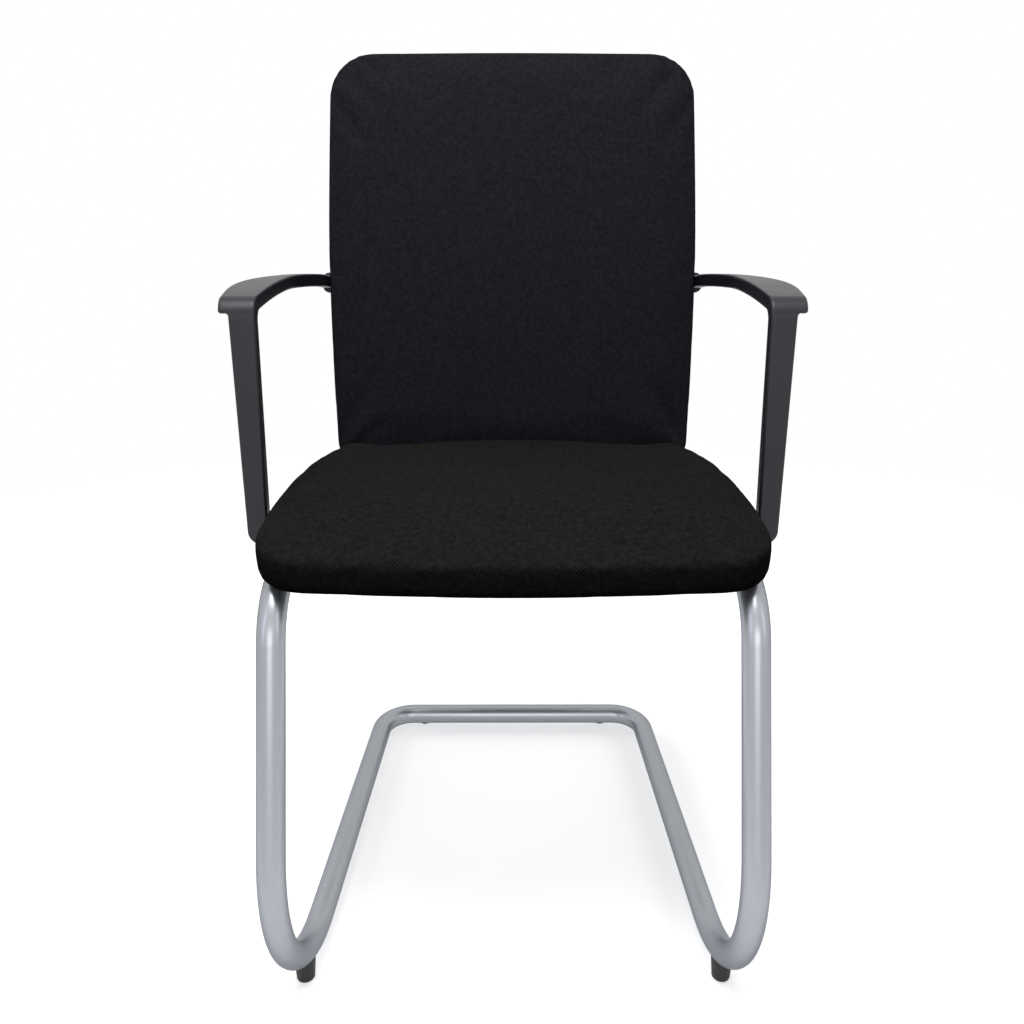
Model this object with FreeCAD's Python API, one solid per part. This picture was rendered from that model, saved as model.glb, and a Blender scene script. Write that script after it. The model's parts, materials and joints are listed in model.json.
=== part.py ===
"""Cantilever chair: bent tube frame, upholstered seat and back, moulded arms.

Millimetres, +Z up, the chair faces -Y. Everything is laid out from the point where
the straight of a leg would meet the straight of its runner, and is centred at the end.
"""
import FreeCAD, Part
import math
import os

Vec = FreeCAD.Vector
ACROSS = Vec(1, 0, 0)
BACKWARD = Vec(0, 1, 0)
UP = Vec(0, 0, 1)

# Frame tube
TUBE_DIAMETER = 25.0
TUBE_WALL = 2.0
LEG_SPACING = 416.0
LEG_LEAN = 14.0
RAIL_HEIGHT = 414.0
RAIL_SLOPE = 4.0
RAIL_REACH = 330.0
BASE_LENGTH = 564.0
REAR_SPACING = 358.0
FLOOR_BEND_RADIUS = 140.0
SEAT_BEND_RADIUS = 55.0
REAR_BEND_RADIUS = 42.0
RUNNER_CLEARANCE = 3.0

# Feet and plugs
FRONT_GLIDE_SETBACK = 114.0
FRONT_GLIDE_TOP = 22.0
FRONT_GLIDE_FOOT = 17.5
FRONT_GLIDE_EDGE = 2.0
REAR_GLIDE_SPACING = 250.0
REAR_GLIDE_SETBACK = 6.0
REAR_GLIDE_DIAMETER = 14.0
REAR_GLIDE_HEIGHT = 8.0
PLUG_DEPTH = 14.0
PLUG_FLANGE = 3.0

# Seat, measured along the rails from the top of the legs and square to them
SEAT_WIDTH = 492.0
SEAT_FRONT_WIDTH = 448.0
SEAT_REAR_WIDTH = 428.0
SEAT_FRONT = -44.0
SEAT_FRONT_BOW = 24.0
SEAT_WIDEST = 190.0
SEAT_REAR = 372.0
SEAT_FRONT_CORNER = 60.0
SEAT_REAR_CORNER = 30.0
SEAT_SIDE_BOW = 121.5
SEAT_FRONT_BOW_REACH = 128.5
SEAT_CREST = 60.0
SEAT_CREST_FOAM = 30.0
SEAT_REAR_FOAM = 22.0
SEAT_WATERFALL_RADIUS = 200.0
SEAT_CROWN_RADIUS = 2600.0
SEAT_TOP_ROLL = 16.0
SEAT_DRAW_IN = 5.0
SEAT_LOW_ROLL = 8.0
SEAT_FRONT_DROP = 16.0
SEAT_UNDER_BEND = 60.0
BOARD_THICKNESS = 10.0
BOARD_NOSE_RADIUS = 60.0
BOARD_NOSE_START = 40.0
BOARD_NOSE_REACH = 36.0
PAN_THICKNESS = 2.5
EDGE_WRAP = 13.0
STRIP_WIDTH = 42.0
STRIP_THICKNESS = 4.0
STRIP_OVERHANG = 6.0
FRONT_STRIP = 112.0
REAR_STRIP = 292.0
SEAT_BOLT_SPACING = 300.0

# Back, measured up the back from the seat and square to it
SEAT_BACK_GAP = 4.0
BACK_LEAN = 14.0
BACK_WIDTH = 454.0
BACK_FOOT_WIDTH = 435.0
BACK_WIDEST = 215.0
BACK_HEIGHT = 487.0
BACK_TUCK = 14.0
BACK_TOP_CORNER = 54.0
BACK_FOOT_CORNER = 14.0
BACK_SIDE_BOW = 80.0
BACK_CURVE_RADIUS = 2000.0
BACK_CROWN_RADIUS = 4200.0
BACK_FOAM = 34.0
BACK_BOARD_THICKNESS = 9.0
BACK_ROLL = 13.0
SHELL_THICKNESS = 3.0
SHELL_INSET = 3.0
SHELL_CAVITY = 10.5
SHELL_EDGE = 5.0
BOSS_DIAMETER = 16.0

# Upright between seat and back
UPRIGHT_WIDTH = 60.0
UPRIGHT_THICKNESS = 6.0
UPRIGHT_BEND_RADIUS = 14.0
UPRIGHT_FRONT_END = 88.0
UPRIGHT_TOP = 185.0
UPRIGHT_MIDDLE = 85.0
UPRIGHT_SLOT_GAP = 1.0
UPRIGHT_BOLT_SPACING = 32.0
BACK_BOLT_HEIGHTS = (50.0, 150.0)

# Arms
ARM_SEAT_GAP = 1.0
ARM_RAIL_GAP = 8.0
ARM_THICKNESS = 15.0
ARM_POST_WIDTH = 26.0
ARM_POST_FOOT_WIDTH = 21.0
ARM_FRONT = 248.0
ARM_HEIGHT = 645.5
ARM_CREST = 650.5
ARM_CREST_SETBACK = 174.0
ARM_NOSE_RADIUS = 20.0
ARM_INNER_RADIUS = 10.0
ARM_PAD_WIDTH = 46.0
ARM_PAD_FRONT_WIDTH = 35.0
ARM_PAD_WIDEST = 97.0
ARM_PAD_BOW = 220.0
ARM_NECK_WIDTH = 14.0
ARM_NECK_SETBACK = 260.0
ARM_NECK_BOW = 150.0
ARM_LIP_DEPTH = 16.0
ARM_TIP_RADIUS = 9.0
ARM_TIP_SET = 1.0
ARM_EDGE = 3.0
ARM_FOOT_HEIGHT = 16.0
ARM_SADDLE_LENGTH = 50.0
ARM_SADDLE_THICKNESS = 18.0
ARM_SADDLE_CORNER = 5.0
ARM_FOOT_RADIUS = 14.0
ARM_BACK_CLEARANCE = 1.0
ARM_PLATE_HEIGHT = 26.0
ARM_PLATE_CORNER = 8.0
ARM_PLATE_THICKNESS = 9.0
ARM_NECK_SINK = 6.0
ARM_PLATE_REACH = 68.0
ARM_PLATE_CENTRE = 204.0
ARM_FOOT_BOLT_PITCH = 28.0
ARM_END_BOLT_PITCH = 24.0
ARM_END_BOLT_EDGE = 12.0

# Fasteners
BOLT_DIAMETER = 6.0
BOLT_HOLE = 6.6
BOLT_HEAD = 11.0
BOLT_HEAD_HEIGHT = 3.3
NUT_BORE = 6.4
NUT_BARREL = 8.0
NUT_FLANGE = 18.0
NUT_FLANGE_THICKNESS = 1.5
NUT_BARREL_SHARE = 0.8
NUT_SINK = 0.4
INSERT_DIAMETER = 9.0
INSERT_LENGTH = 14.0
HOLE_CLEARANCE = 0.3

# Fits
FACE_GAP = 0.1
SOFT_GAP = 0.3
TOUCH = 0.01
CROWN_MARGIN = 1.2
ALONG_ANGLE = 25.0
SHARP_ANGLE = 30.0

# Derived places
TUBE_RADIUS = TUBE_DIAMETER / 2
RUNNER_HEIGHT = RUNNER_CLEARANCE + TUBE_RADIUS
LEG_TOP_SETBACK = (RAIL_HEIGHT - RUNNER_HEIGHT) * math.tan(math.radians(LEG_LEAN))
SEAT_FRAME = FreeCAD.Placement(Vec(0, LEG_TOP_SETBACK, RAIL_HEIGHT), FreeCAD.Rotation(ACROSS, -RAIL_SLOPE))
STRIP_BOTTOM = TUBE_RADIUS + FACE_GAP
STRIP_TOP = STRIP_BOTTOM + STRIP_THICKNESS
PAN_BOTTOM = STRIP_TOP + FACE_GAP
BOARD_BOTTOM = PAN_BOTTOM + PAN_THICKNESS + FACE_GAP
BOARD_TOP = BOARD_BOTTOM + BOARD_THICKNESS
CREST_TOP = BOARD_TOP + SEAT_CREST_FOAM
REAR_TOP = BOARD_TOP + SEAT_REAR_FOAM
BACK_FOOT = SEAT_FRAME.multVec(Vec(0, SEAT_REAR + SEAT_BACK_GAP, REAR_TOP))
BACK_FRAME = FreeCAD.Placement(BACK_FOOT, FreeCAD.Rotation(ACROSS, -BACK_LEAN))
BACK_BOARD_FRONT = BACK_FOAM + SOFT_GAP
BACK_BOARD_REAR = BACK_BOARD_FRONT + BACK_BOARD_THICKNESS
SHELL_INNER = BACK_BOARD_REAR + SHELL_CAVITY
SHELL_OUTER = SHELL_INNER + SHELL_THICKNESS
ARM_REAR_INNER = BACK_WIDTH / 2 + ARM_BACK_CLEARANCE
ARM_RAIL_FACE = LEG_SPACING / 2 + TUBE_RADIUS
ARM_INNER = max(SEAT_WIDTH / 2 + ARM_SEAT_GAP, ARM_RAIL_FACE + ARM_RAIL_GAP)
SIDES = {"left": -1, "right": 1}


def bent_edges(corners, closed=False):
    """Lines through corner points (point, radius), rounded by tangent arcs."""
    count = len(corners)
    joints = []
    for index, (point, radius) in enumerate(corners):
        if not radius or not closed and index in (0, count - 1):
            joints.append((point, None, point))
            continue
        before = (point - corners[index - 1][0]).normalize()
        after = (corners[(index + 1) % count][0] - point).normalize()
        half_turn = before.getAngle(after) / 2
        inward = (after - before).normalize()
        reach = radius * math.tan(half_turn)
        middle = point + inward * (radius / math.cos(half_turn) - radius)
        joints.append((point - before * reach, middle, point + after * reach))
    edges = []
    for index, (start, middle, end) in enumerate(joints):
        if middle is not None:
            edges.append(Part.Arc(start, middle, end).toShape())
        if index + 1 < count or closed:
            edges.append(Part.LineSegment(end, joints[(index + 1) % count][0]).toShape())
    return edges


def bowed(before, corner, after, reach):
    """A corner whose rounding begins at a distance from it on both sides."""
    half_turn = (corner - before).getAngle(after - corner) / 2
    return corner, reach / math.tan(half_turn)


def runs_along(edge, parameter, along):
    """Whether an edge runs nearly in one direction at a place on it."""
    return abs(edge.tangentAt(parameter).dot(along)) > math.cos(math.radians(ALONG_ANGLE))


def bent_face(corners):
    """A flat face inside a closed outline of rounded corners."""
    return Part.Face(Part.Wire(bent_edges(corners, closed=True)))


def flat_face(edges):
    """A flat face inside edges given in order."""
    return Part.Face(Part.Wire(edges))


def line(start, end):
    """A straight edge."""
    return Part.LineSegment(start, end).toShape()


def arc(start, middle, end):
    """A round edge through three points."""
    return Part.Arc(start, middle, end).toShape()


def rod(edges, radius):
    """A round bar of one radius along straight and round edges."""
    pieces = []
    for edge in edges:
        start = edge.valueAt(edge.FirstParameter)
        along = edge.tangentAt(edge.FirstParameter)
        disc = Part.Face(Part.Wire(Part.makeCircle(radius, start, along)))
        if isinstance(edge.Curve, Part.Circle):
            turn = math.degrees(edge.LastParameter - edge.FirstParameter)
            pieces.append(disc.revolve(edge.Curve.Center, edge.Curve.Axis, turn))
        else:
            pieces.append(disc.extrude(along * edge.Length))
    return pieces[0].multiFuse(pieces[1:]).removeSplitter()


def mirrored(shape):
    """The same piece on the other side of the chair."""
    return shape.mirror(Vec(0, 0, 0), ACROSS)


def across(face, width):
    """A face in the side view, drawn out to a width centred on the chair."""
    middle = face.copy()
    middle.translate(ACROSS * (-width / 2))
    return middle.extrude(ACROSS * width)


def drill(point, along, diameter, length):
    """A round cutter or pin."""
    return Part.makeCylinder(diameter / 2, length, point, along)


def rim(shape, block, along, test):
    """Edges of a shape round the walls of a block, where their middle point passes a test."""
    walls = Part.makeCompound(block.Shells)
    found = []
    for edge in shape.Edges:
        half_way = (edge.FirstParameter + edge.LastParameter) / 2
        middle = edge.valueAt(half_way)
        if runs_along(edge, half_way, along) or not test(middle):
            continue
        if walls.distToShape(Part.Vertex(middle))[0] < TOUCH:
            found.append(edge)
    return found


def edges_along(shape, along):
    """Straight edges of a shape that run in one direction."""
    return [e for e in shape.Edges if runs_along(e, e.FirstParameter, along)]


def sharp_edges(shape):
    """Edges where two faces of a shape meet at a clear angle."""
    found = []
    for edge in shape.Edges:
        middle = edge.valueAt((edge.FirstParameter + edge.LastParameter) / 2)
        sides = shape.ancestorsOfType(edge, Part.Face)
        if len(sides) != 2:
            continue
        first, second = [side.normalAt(*side.Surface.parameter(middle)) for side in sides]
        if math.degrees(first.getAngle(second)) > SHARP_ANGLE:
            found.append(edge)
    return found


# Frame

def tube_corners():
    """Corners of the tube's centre line, from one rail end round to the other."""
    half = LEG_SPACING / 2
    rail_end = SEAT_FRAME.multVec(Vec(half, RAIL_REACH, 0))
    right = [
        (rail_end, 0.0),
        (Vec(half, LEG_TOP_SETBACK, RAIL_HEIGHT), SEAT_BEND_RADIUS),
        (Vec(half, 0, RUNNER_HEIGHT), FLOOR_BEND_RADIUS),
        (Vec(REAR_SPACING / 2, BASE_LENGTH, RUNNER_HEIGHT), REAR_BEND_RADIUS),
    ]
    left = [(Vec(-p.x, p.y, p.z), radius) for p, radius in reversed(right)]
    return right + left


def arm_bolt_places(side):
    """Places on a rail's centre line where an arm's foot is bolted."""
    half = LEG_SPACING / 2 * side
    setback = (ARM_FRONT + ARM_THICKNESS / 2 - LEG_TOP_SETBACK) / math.cos(math.radians(RAIL_SLOPE))
    steps = (-ARM_FOOT_BOLT_PITCH / 2, ARM_FOOT_BOLT_PITCH / 2)
    return [SEAT_FRAME.multVec(Vec(half, setback + step, 0)) for step in steps]


def frame_tube(path):
    """One bent tube with cross holes for the arm bolts."""
    tube = rod(path, TUBE_RADIUS).cut(rod(path, TUBE_RADIUS - TUBE_WALL))
    holes = []
    for side in SIDES.values():
        for place in arm_bolt_places(side):
            holes.append(drill(place - ACROSS * TUBE_DIAMETER, ACROSS, BOLT_HOLE, 2 * TUBE_DIAMETER))
    return tube.cut(holes)


def floor_bend_height(setback):
    """Height of the tube's centre line in the floor bend, behind the foot corner."""
    turn = math.radians(90 + LEG_LEAN)
    centre = FLOOR_BEND_RADIUS * math.tan(turn / 2)
    behind = centre - setback
    return RUNNER_HEIGHT + FLOOR_BEND_RADIUS - math.sqrt(FLOOR_BEND_RADIUS ** 2 - behind ** 2)


def front_glide(side, clear_tube):
    """A tapered stub foot, hollowed on top to the tube."""
    height = floor_bend_height(FRONT_GLIDE_SETBACK)
    inset = (LEG_SPACING - REAR_SPACING) / 2 * FRONT_GLIDE_SETBACK / BASE_LENGTH
    foot = Vec((LEG_SPACING / 2 - inset) * side, FRONT_GLIDE_SETBACK, 0)
    stub = Part.makeCone(FRONT_GLIDE_FOOT / 2, FRONT_GLIDE_TOP / 2, height, foot, UP)
    lower = [e for e in stub.Edges if e.BoundBox.ZMax < FRONT_GLIDE_EDGE]
    return stub.makeFillet(FRONT_GLIDE_EDGE, lower).cut(clear_tube)


def rear_glide(side, clear_tube):
    """A low pad under the rear half of the rear bar, hollowed on top to it."""
    foot = Vec(REAR_GLIDE_SPACING / 2 * side, BASE_LENGTH + REAR_GLIDE_SETBACK, 0)
    pad = Part.makeCylinder(REAR_GLIDE_DIAMETER / 2, REAR_GLIDE_HEIGHT, foot, UP)
    return pad.cut(clear_tube)


def rail_plug(side):
    """A domed plug in the open end of a rail."""
    half = LEG_SPACING / 2 * side
    stem_radius = TUBE_RADIUS - TUBE_WALL - FACE_GAP
    start = Vec(half, RAIL_REACH - PLUG_DEPTH, 0)
    stem = Part.makeCylinder(stem_radius, PLUG_DEPTH + FACE_GAP, start, BACKWARD)
    flange = Part.makeCylinder(TUBE_RADIUS, PLUG_FLANGE, Vec(half, RAIL_REACH + FACE_GAP, 0), BACKWARD)
    outer = [e for e in flange.Edges if e.BoundBox.YMin > RAIL_REACH + PLUG_FLANGE / 2]
    return stem.fuse(flange.makeFillet(PLUG_FLANGE / 2, outer))


# Fasteners

def bolt(place, along, length):
    """A round-headed bolt: the head's underside is at place, the shank points along."""
    head = Part.makeCylinder(BOLT_HEAD / 2, BOLT_HEAD_HEIGHT, place, along * -1)
    far = place - along * BOLT_HEAD_HEIGHT
    outer = [e for e in head.Edges if (e.CenterOfMass - far).Length < BOLT_HEAD_HEIGHT / 4]
    domed = head.makeFillet(BOLT_HEAD_HEIGHT / 2, outer)
    return domed.fuse(drill(place, along, BOLT_DIAMETER, length))


def sunk_bolt(place, along, length):
    """A countersunk bolt: the head's flat is at place, the shank points along."""
    depth = (BOLT_HEAD - BOLT_DIAMETER) / 2
    head = Part.makeCone(BOLT_HEAD / 2, BOLT_DIAMETER / 2, depth, place, along)
    return head.fuse(drill(place + along * depth, along, BOLT_DIAMETER, length - depth))


def sunk_hole(place, along, length):
    """Cutter for a countersunk bolt."""
    depth = (BOLT_HEAD - BOLT_DIAMETER) / 2
    wide = BOLT_HEAD / 2 + HOLE_CLEARANCE
    head = Part.makeCone(wide, wide - depth, depth, place, along)
    return head.fuse(drill(place, along, BOLT_HOLE, length))


def tee_nut(place, along, thickness):
    """A flanged nut let into a board: place is on the flange's face, along points into the board."""
    flange = drill(place, along, NUT_FLANGE, NUT_FLANGE_THICKNESS)
    barrel = drill(place, along, NUT_BARREL, thickness * NUT_BARREL_SHARE)
    return flange.fuse(barrel).cut(drill(place, along, NUT_BORE, thickness))


def tee_nut_hole(place, along, thickness):
    """Cutter for a flanged nut."""
    depth = NUT_FLANGE_THICKNESS + NUT_SINK + HOLE_CLEARANCE
    flange = drill(place, along, NUT_FLANGE + 2 * HOLE_CLEARANCE, depth)
    return flange.fuse(drill(place, along, NUT_BARREL + 2 * HOLE_CLEARANCE, thickness))


# Seat

def seat_outline():
    """The seat's outline from above: bowed front and sides, round corners."""
    front = Vec(SEAT_FRONT_WIDTH / 2, SEAT_FRONT + SEAT_FRONT_BOW, 0)
    widest = Vec(SEAT_WIDTH / 2, SEAT_WIDEST, 0)
    rear = Vec(SEAT_REAR_WIDTH / 2, SEAT_REAR, 0)
    right = [(front, SEAT_FRONT_CORNER), bowed(front, widest, rear, SEAT_SIDE_BOW), (rear, SEAT_REAR_CORNER)]
    left = [(Vec(-p.x, p.y, p.z), radius) for p, radius in reversed(right)]
    middle = bowed(left[-1][0], Vec(0, SEAT_FRONT, 0), front, SEAT_FRONT_BOW_REACH)
    return bent_face([middle] + right + left)


def drawn_in_block():
    """A block of the seat's outline whose sides draw in towards the underside."""
    low = seat_outline().OuterWire.makeOffset2D(-SEAT_DRAW_IN)
    low.translate(UP * (PAN_BOTTOM - 2 * SEAT_FRONT_DROP))
    high = seat_outline().OuterWire
    high.translate(UP * CREST_TOP)
    return Part.makeLoft([low, high], True, True)


def seat_prism(inset):
    """A tall block of the seat's outline, drawn in on all sides."""
    outline = seat_outline()
    if inset:
        outline = Part.Face(outline.OuterWire.makeOffset2D(-inset))
    tall = CREST_TOP * 3
    outline.translate(UP * (-tall / 2))
    return outline.extrude(UP * tall)


def nose_layer(bottom, thickness, longer=0.0):
    """A sheet that is flat under the seat and rolls down over its front edge."""
    reach = math.asin((BOARD_NOSE_REACH + longer) / BOARD_NOSE_RADIUS)
    centre = Vec(0, BOARD_NOSE_START, BOARD_BOTTOM - BOARD_NOSE_RADIUS)
    low = bottom - centre.z
    high = low + thickness

    def at(radius, angle):
        return centre + Vec(0, -radius * math.sin(angle), radius * math.cos(angle))

    rear_low = Vec(0, SEAT_REAR, bottom)
    rear_high = Vec(0, SEAT_REAR, bottom + thickness)
    return flat_face([
        line(rear_low, rear_high),
        line(rear_high, at(high, 0)),
        arc(at(high, 0), at(high, reach / 2), at(high, reach)),
        line(at(high, reach), at(low, reach)),
        arc(at(low, reach), at(low, reach / 2), at(low, 0)),
        line(at(low, 0), rear_low),
    ])


def bolt_places(spacing, height):
    """Bolt places on both cross strips, at one height above the rails."""
    return [Vec(x, y, height) for y in (FRONT_STRIP, REAR_STRIP) for x in (-spacing / 2, spacing / 2)]


def all_bolt_places(height):
    """Places of the strip bolts and the upright's bolts."""
    return bolt_places(SEAT_BOLT_SPACING, height) + bolt_places(UPRIGHT_BOLT_SPACING, height)


def seat_board():
    """Moulded plywood with sunk seats for its nuts."""
    board = across(nose_layer(BOARD_BOTTOM, BOARD_THICKNESS), SEAT_WIDTH).common(seat_prism(EDGE_WRAP))
    return board.cut([tee_nut_hole(p, UP * -1, BOARD_THICKNESS) for p in all_bolt_places(BOARD_TOP)])


def seat_pan():
    """Thin moulded cover under the board."""
    pan = across(nose_layer(PAN_BOTTOM, PAN_THICKNESS), SEAT_WIDTH).common(seat_prism(EDGE_WRAP))
    return pan.cut([drill(p, UP, BOLT_HOLE, PAN_THICKNESS) for p in all_bolt_places(PAN_BOTTOM)])


def cross_strip(setback):
    """Flat steel strip welded across the rails."""
    length = LEG_SPACING + 2 * STRIP_OVERHANG
    corner = Vec(-length / 2, setback - STRIP_WIDTH / 2, STRIP_BOTTOM)
    strip = Part.makeBox(length, STRIP_WIDTH, STRIP_THICKNESS, corner)
    rounded = strip.makeFillet(STRIP_OVERHANG, edges_along(strip, UP))
    places = [p for p in all_bolt_places(STRIP_BOTTOM) if p.y == setback]
    return rounded.cut([drill(p, UP, BOLT_HOLE, STRIP_THICKNESS) for p in places])


def seat_top_view(bottom):
    """Side view of the seat down to a level: crest, waterfall front, dip to the rear."""
    ahead = SEAT_FRONT - SEAT_FRONT_BOW
    drop = SEAT_CREST - ahead
    fall = SEAT_WATERFALL_RADIUS

    def waterfall(distance):
        return Vec(0, SEAT_CREST - distance, CREST_TOP - fall + math.sqrt(fall ** 2 - distance ** 2))

    length = SEAT_REAR - SEAT_CREST
    dip = CREST_TOP - REAR_TOP
    crest = Vec(0, SEAT_CREST, CREST_TOP)
    rear_top = Vec(0, SEAT_REAR, REAR_TOP)
    middle = Vec(0, SEAT_CREST + length / 2, CREST_TOP - dip / 4)
    rear_low = Vec(0, SEAT_REAR, bottom)
    front_low = Vec(0, ahead, bottom)
    return flat_face([
        arc(rear_top, middle, crest),
        arc(crest, waterfall(drop / 2), waterfall(drop)),
        line(waterfall(drop), front_low),
        line(front_low, rear_low),
        line(rear_low, rear_top),
    ])


def seat_under_view():
    """Side view of the room above the seat's underside, which dips to the front edge."""
    ahead = SEAT_FRONT - SEAT_FRONT_BOW
    high = 2 * CREST_TOP
    low = PAN_BOTTOM - SEAT_FRONT_DROP
    return bent_face([
        (Vec(0, ahead, high), 0.0),
        (Vec(0, ahead, low), 0.0),
        (Vec(0, BOARD_NOSE_START - BOARD_NOSE_REACH, low), SEAT_UNDER_BEND),
        (Vec(0, BOARD_NOSE_START, PAN_BOTTOM), SEAT_UNDER_BEND),
        (Vec(0, SEAT_REAR, PAN_BOTTOM), 0.0),
        (Vec(0, SEAT_REAR, high), 0.0),
    ])


def seat_cushion():
    """Crowned, filled cover that wraps the edge of the board."""
    axis = Vec(0, 0, CREST_TOP - SEAT_CROWN_RADIUS)
    swing = CROWN_MARGIN * math.degrees(SEAT_WIDTH / 2 / SEAT_CROWN_RADIUS)
    profile = seat_top_view(-2 * CREST_TOP)
    profile.rotate(axis, BACKWARD, -swing)
    crowned = profile.revolve(axis, BACKWARD, 2 * swing)
    body = drawn_in_block()
    pad = crowned.common(across(seat_under_view(), 2 * SEAT_WIDTH)).common(body)
    pad = pad.makeFillet(SEAT_TOP_ROLL, rim(pad, body, UP, lambda p: p.z > BOARD_TOP))
    pad = pad.makeFillet(SEAT_LOW_ROLL, rim(pad, body, UP, lambda p: p.z < BOARD_BOTTOM))
    low = PAN_BOTTOM - SEAT_FRONT_DROP
    hollow = across(nose_layer(low, BOARD_TOP + SOFT_GAP - low, SOFT_GAP), SEAT_WIDTH)
    return pad.cut(hollow.common(seat_prism(EDGE_WRAP - SOFT_GAP)))


def seat_bolts():
    """Bolts through the strips into the board."""
    low = STRIP_BOTTOM - FACE_GAP
    return [bolt(p, UP, BOARD_TOP - low) for p in bolt_places(SEAT_BOLT_SPACING, low)]


def seat_nuts(spacing):
    """Flanged nuts let into the top of the board."""
    return [tee_nut(p, UP * -1, BOARD_THICKNESS) for p in bolt_places(spacing, BOARD_TOP)]


# Back

def back_point(height, depth):
    """A point of the back's side view, at a height up the back and a depth behind its front."""
    centre = math.sqrt(BACK_CURVE_RADIUS ** 2 - (BACK_HEIGHT / 2) ** 2)
    angle = (height - BACK_HEIGHT / 2) / BACK_CURVE_RADIUS
    radius = BACK_CURVE_RADIUS - depth
    return Vec(0, centre - radius * math.cos(angle), BACK_HEIGHT / 2 + radius * math.sin(angle))


def back_normal(height):
    """The direction straight back out of the curved back at a height."""
    return (back_point(height, 1) - back_point(height, 0)).normalize()


def back_layer(front, rear, low=-2 * BACK_TUCK, high=BACK_HEIGHT + 2 * BACK_TUCK):
    """Side view of a curved layer of the back, between two depths."""
    middle = (low + high) / 2
    return flat_face([
        arc(back_point(low, front), back_point(middle, front), back_point(high, front)),
        line(back_point(high, front), back_point(high, rear)),
        arc(back_point(high, rear), back_point(middle, rear), back_point(low, rear)),
        line(back_point(low, rear), back_point(low, front)),
    ])


def back_prism(inset):
    """A deep block of the back's outline, drawn in on all sides."""
    foot = Vec(BACK_FOOT_WIDTH / 2, 0, -BACK_TUCK)
    widest = Vec(BACK_WIDTH / 2, 0, BACK_WIDEST)
    top = Vec(BACK_WIDTH / 2, 0, BACK_HEIGHT)
    right = [(foot, BACK_FOOT_CORNER), bowed(foot, widest, top, BACK_SIDE_BOW), (top, BACK_TOP_CORNER)]
    left = [(Vec(-p.x, p.y, p.z), radius) for p, radius in reversed(right)]
    outline = bent_face(right + left)
    if inset:
        outline = Part.Face(outline.OuterWire.makeOffset2D(-inset))
    deep = 4 * SHELL_OUTER
    outline.translate(BACKWARD * (-deep / 2))
    return outline.extrude(BACKWARD * deep)


def back_cushion():
    """Crowned, filled cover that wraps the edge of the back board."""
    axis = Vec(0, back_point(BACK_HEIGHT / 2, 0).y + BACK_CROWN_RADIUS, 0)
    swing = CROWN_MARGIN * math.degrees(BACK_WIDTH / 2 / BACK_CROWN_RADIUS)
    profile = back_layer(0, 2 * SHELL_OUTER)
    profile.rotate(axis, UP, -swing)
    prism = back_prism(0)
    depth = across(back_layer(-SHELL_OUTER, BACK_BOARD_REAR), 2 * BACK_WIDTH)
    pad = profile.revolve(axis, UP, 2 * swing).common(prism).common(depth)
    pad = pad.makeFillet(BACK_ROLL, rim(pad, prism, BACKWARD, lambda p: p.y < back_point(p.z, BACK_FOAM / 2).y))
    hollow = across(back_layer(BACK_FOAM, 2 * SHELL_OUTER), 2 * BACK_WIDTH)
    return pad.cut(hollow.common(back_prism(EDGE_WRAP - SOFT_GAP)))


def back_bolt_places(depth):
    """Places of the upright's bolts on the back, at a depth along their own direction."""
    along = back_normal(UPRIGHT_MIDDLE)
    half = UPRIGHT_BOLT_SPACING / 2
    return [back_point(h, BACK_BOARD_FRONT) + along * depth + ACROSS * x
            for h in BACK_BOLT_HEIGHTS for x in (-half, half)]


def arm_end_places(depth):
    """Places of the arm bolts on the back, at a depth behind its front."""
    inner = ARM_REAR_INNER - ARM_PLATE_REACH + ARM_END_BOLT_EDGE
    middle = back_point(ARM_PLATE_CENTRE, depth)
    return [middle + ACROSS * (side * x) for side in SIDES.values() for x in (inner, inner + ARM_END_BOLT_PITCH)]


def back_board():
    """Moulded plywood with sunk seats for its nuts."""
    board = across(back_layer(BACK_BOARD_FRONT, BACK_BOARD_REAR), BACK_WIDTH).common(back_prism(EDGE_WRAP))
    holes = [tee_nut_hole(p, back_normal(UPRIGHT_MIDDLE), 2 * BACK_BOARD_THICKNESS) for p in back_bolt_places(0)]
    along = back_normal(ARM_PLATE_CENTRE)
    holes += [tee_nut_hole(p, along, 2 * BACK_BOARD_THICKNESS) for p in arm_end_places(BACK_BOARD_FRONT)]
    return board.cut(holes)


def back_nuts():
    """Flanged nuts for the upright, let into the front of the back board."""
    along = back_normal(UPRIGHT_MIDDLE)
    return [tee_nut(p, along, BACK_BOARD_THICKNESS) for p in back_bolt_places(NUT_SINK)]


def arm_end_nuts():
    """Flanged nuts for the arms, let into the front of the back board."""
    along = back_normal(ARM_PLATE_CENTRE)
    return [tee_nut(p, along, BACK_BOARD_THICKNESS) for p in arm_end_places(BACK_BOARD_FRONT + NUT_SINK)]


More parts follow.
